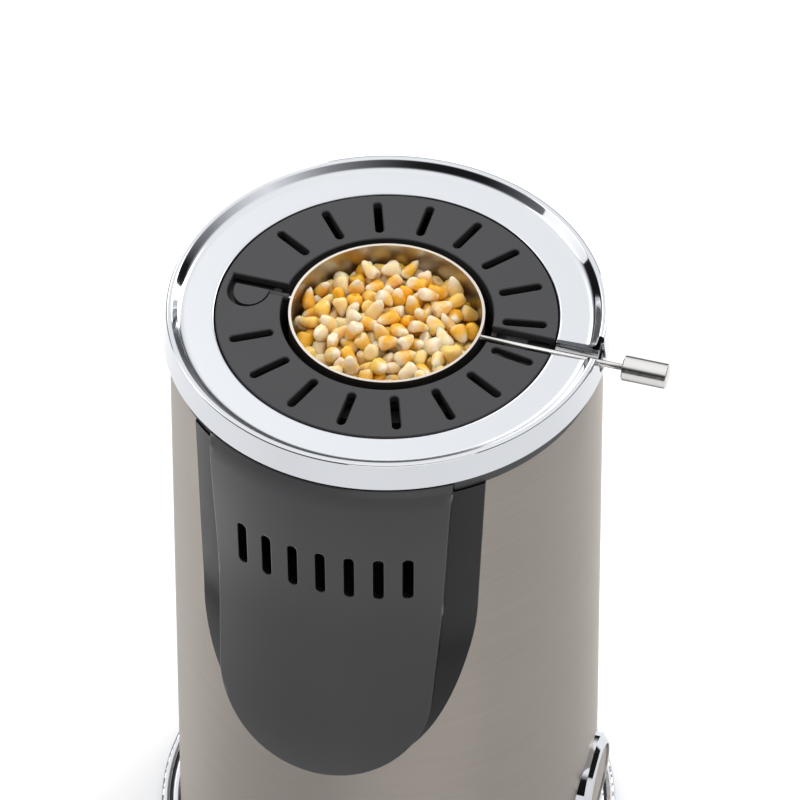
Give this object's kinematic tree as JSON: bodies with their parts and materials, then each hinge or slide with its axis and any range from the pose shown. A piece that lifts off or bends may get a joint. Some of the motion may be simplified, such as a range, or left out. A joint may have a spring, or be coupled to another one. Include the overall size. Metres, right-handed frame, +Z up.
{
  "type": "popcorn maker",
  "caption": "Hot-air popcorn maker: tapered brushed steel body, smoked chute shield at the front, and a lid with a tipping kernel cup turned by a side knob.",
  "frame": {"origin": "on the table, on the axis of the body and lid, at the underside of the rubber foot ring", "axes": "+Z up along the body's axis; -Y towards the chute, which is the front; +X towards the knob of the kernel cup and the power button"},
  "size_m": [0.1984, 0.1901, 0.2961],
  "materials": {
    "polished_chrome": "polished",
    "brushed_body_steel": "vertically brushed",
    "polished_rod_steel": "fine turned",
    "matte_black_plastic": "fine spark texture",
    "gloss_black_plastic": "gloss",
    "smoked_shield": "clear gloss, smoked",
    "spun_aluminium": "spun",
    "zinc_steel": "zinc plated",
    "heating_wire": "oxidised",
    "mica_sheet": "flaky satin",
    "foot_rubber": "matte",
    "circuit_laminate": "phenolic board",
    "component_epoxy": "moulded"
  },
  "bodies": {
    "housing": {"foot_ring": "foot_rubber", "base_pan": "matte_black_plastic", "base_bead_ring": "polished_chrome", "base_trim_ring": "polished_chrome", "base_screws": "zinc_steel", "body_shell": "brushed_body_steel", "neck_collar": "matte_black_plastic", "chute_surround": "gloss_black_plastic", "chute_duct": "matte_black_plastic", "chute_shield": "smoked_shield", "popping_chamber": "spun_aluminium", "chamber_floor": "spun_aluminium", "heater_frame": "mica_sheet", "heater_coil": "heating_wire", "air_sleeve": "zinc_steel", "thermostat": "component_epoxy", "thermal_fuse": "zinc_steel", "fan_deck": "matte_black_plastic", "motor_body": "zinc_steel", "motor_bracket": "zinc_steel", "motor_screws": "zinc_steel", "rectifier_board": "circuit_laminate", "board_components": "component_epoxy", "button_bezel": "polished_chrome", "power_switch": "matte_black_plastic", "cord_gland": "matte_black_plastic"},
    "lid": {"lid_cover": "polished_chrome", "grille_plate": "matte_black_plastic", "lid_pan": "matte_black_plastic", "rod_channel": "polished_chrome", "rod_saddle_right": "matte_black_plastic", "rod_saddle_left": "matte_black_plastic"},
    "cup": {"kernel_cup": "polished_rod_steel", "cup_rod": "polished_rod_steel", "rod_knob": "polished_rod_steel", "cup_pin": "polished_rod_steel", "stop_paddle": "matte_black_plastic"},
    "power_button": {"power_button": "brushed_body_steel"},
    "fan": {"fan_impeller": "spun_aluminium", "motor_shaft": "polished_rod_steel"}
  },
  "joints": [
    {"name": "lid_lift", "type": "slide", "parent": "housing", "child": "lid", "axis": [0, 0, 1], "range_m": [0, 0.06]},
    {"name": "cup_tip", "type": "hinge", "parent": "lid", "child": "cup", "pos_m": [0, 0, 0.289], "axis": [-1, 0, 0], "range_deg": [0, 108]},
    {"name": "power_button_press", "type": "slide", "parent": "housing", "child": "power_button", "axis": [-1, 0, 0], "range_m": [0, 0.0025], "stiffness_N_per_m": 400},
    {"name": "fan_spin", "type": "hinge", "parent": "housing", "child": "fan", "pos_m": [0, 0, 0.06], "axis": [0, 0, 1], "continuous": true}
  ]
}
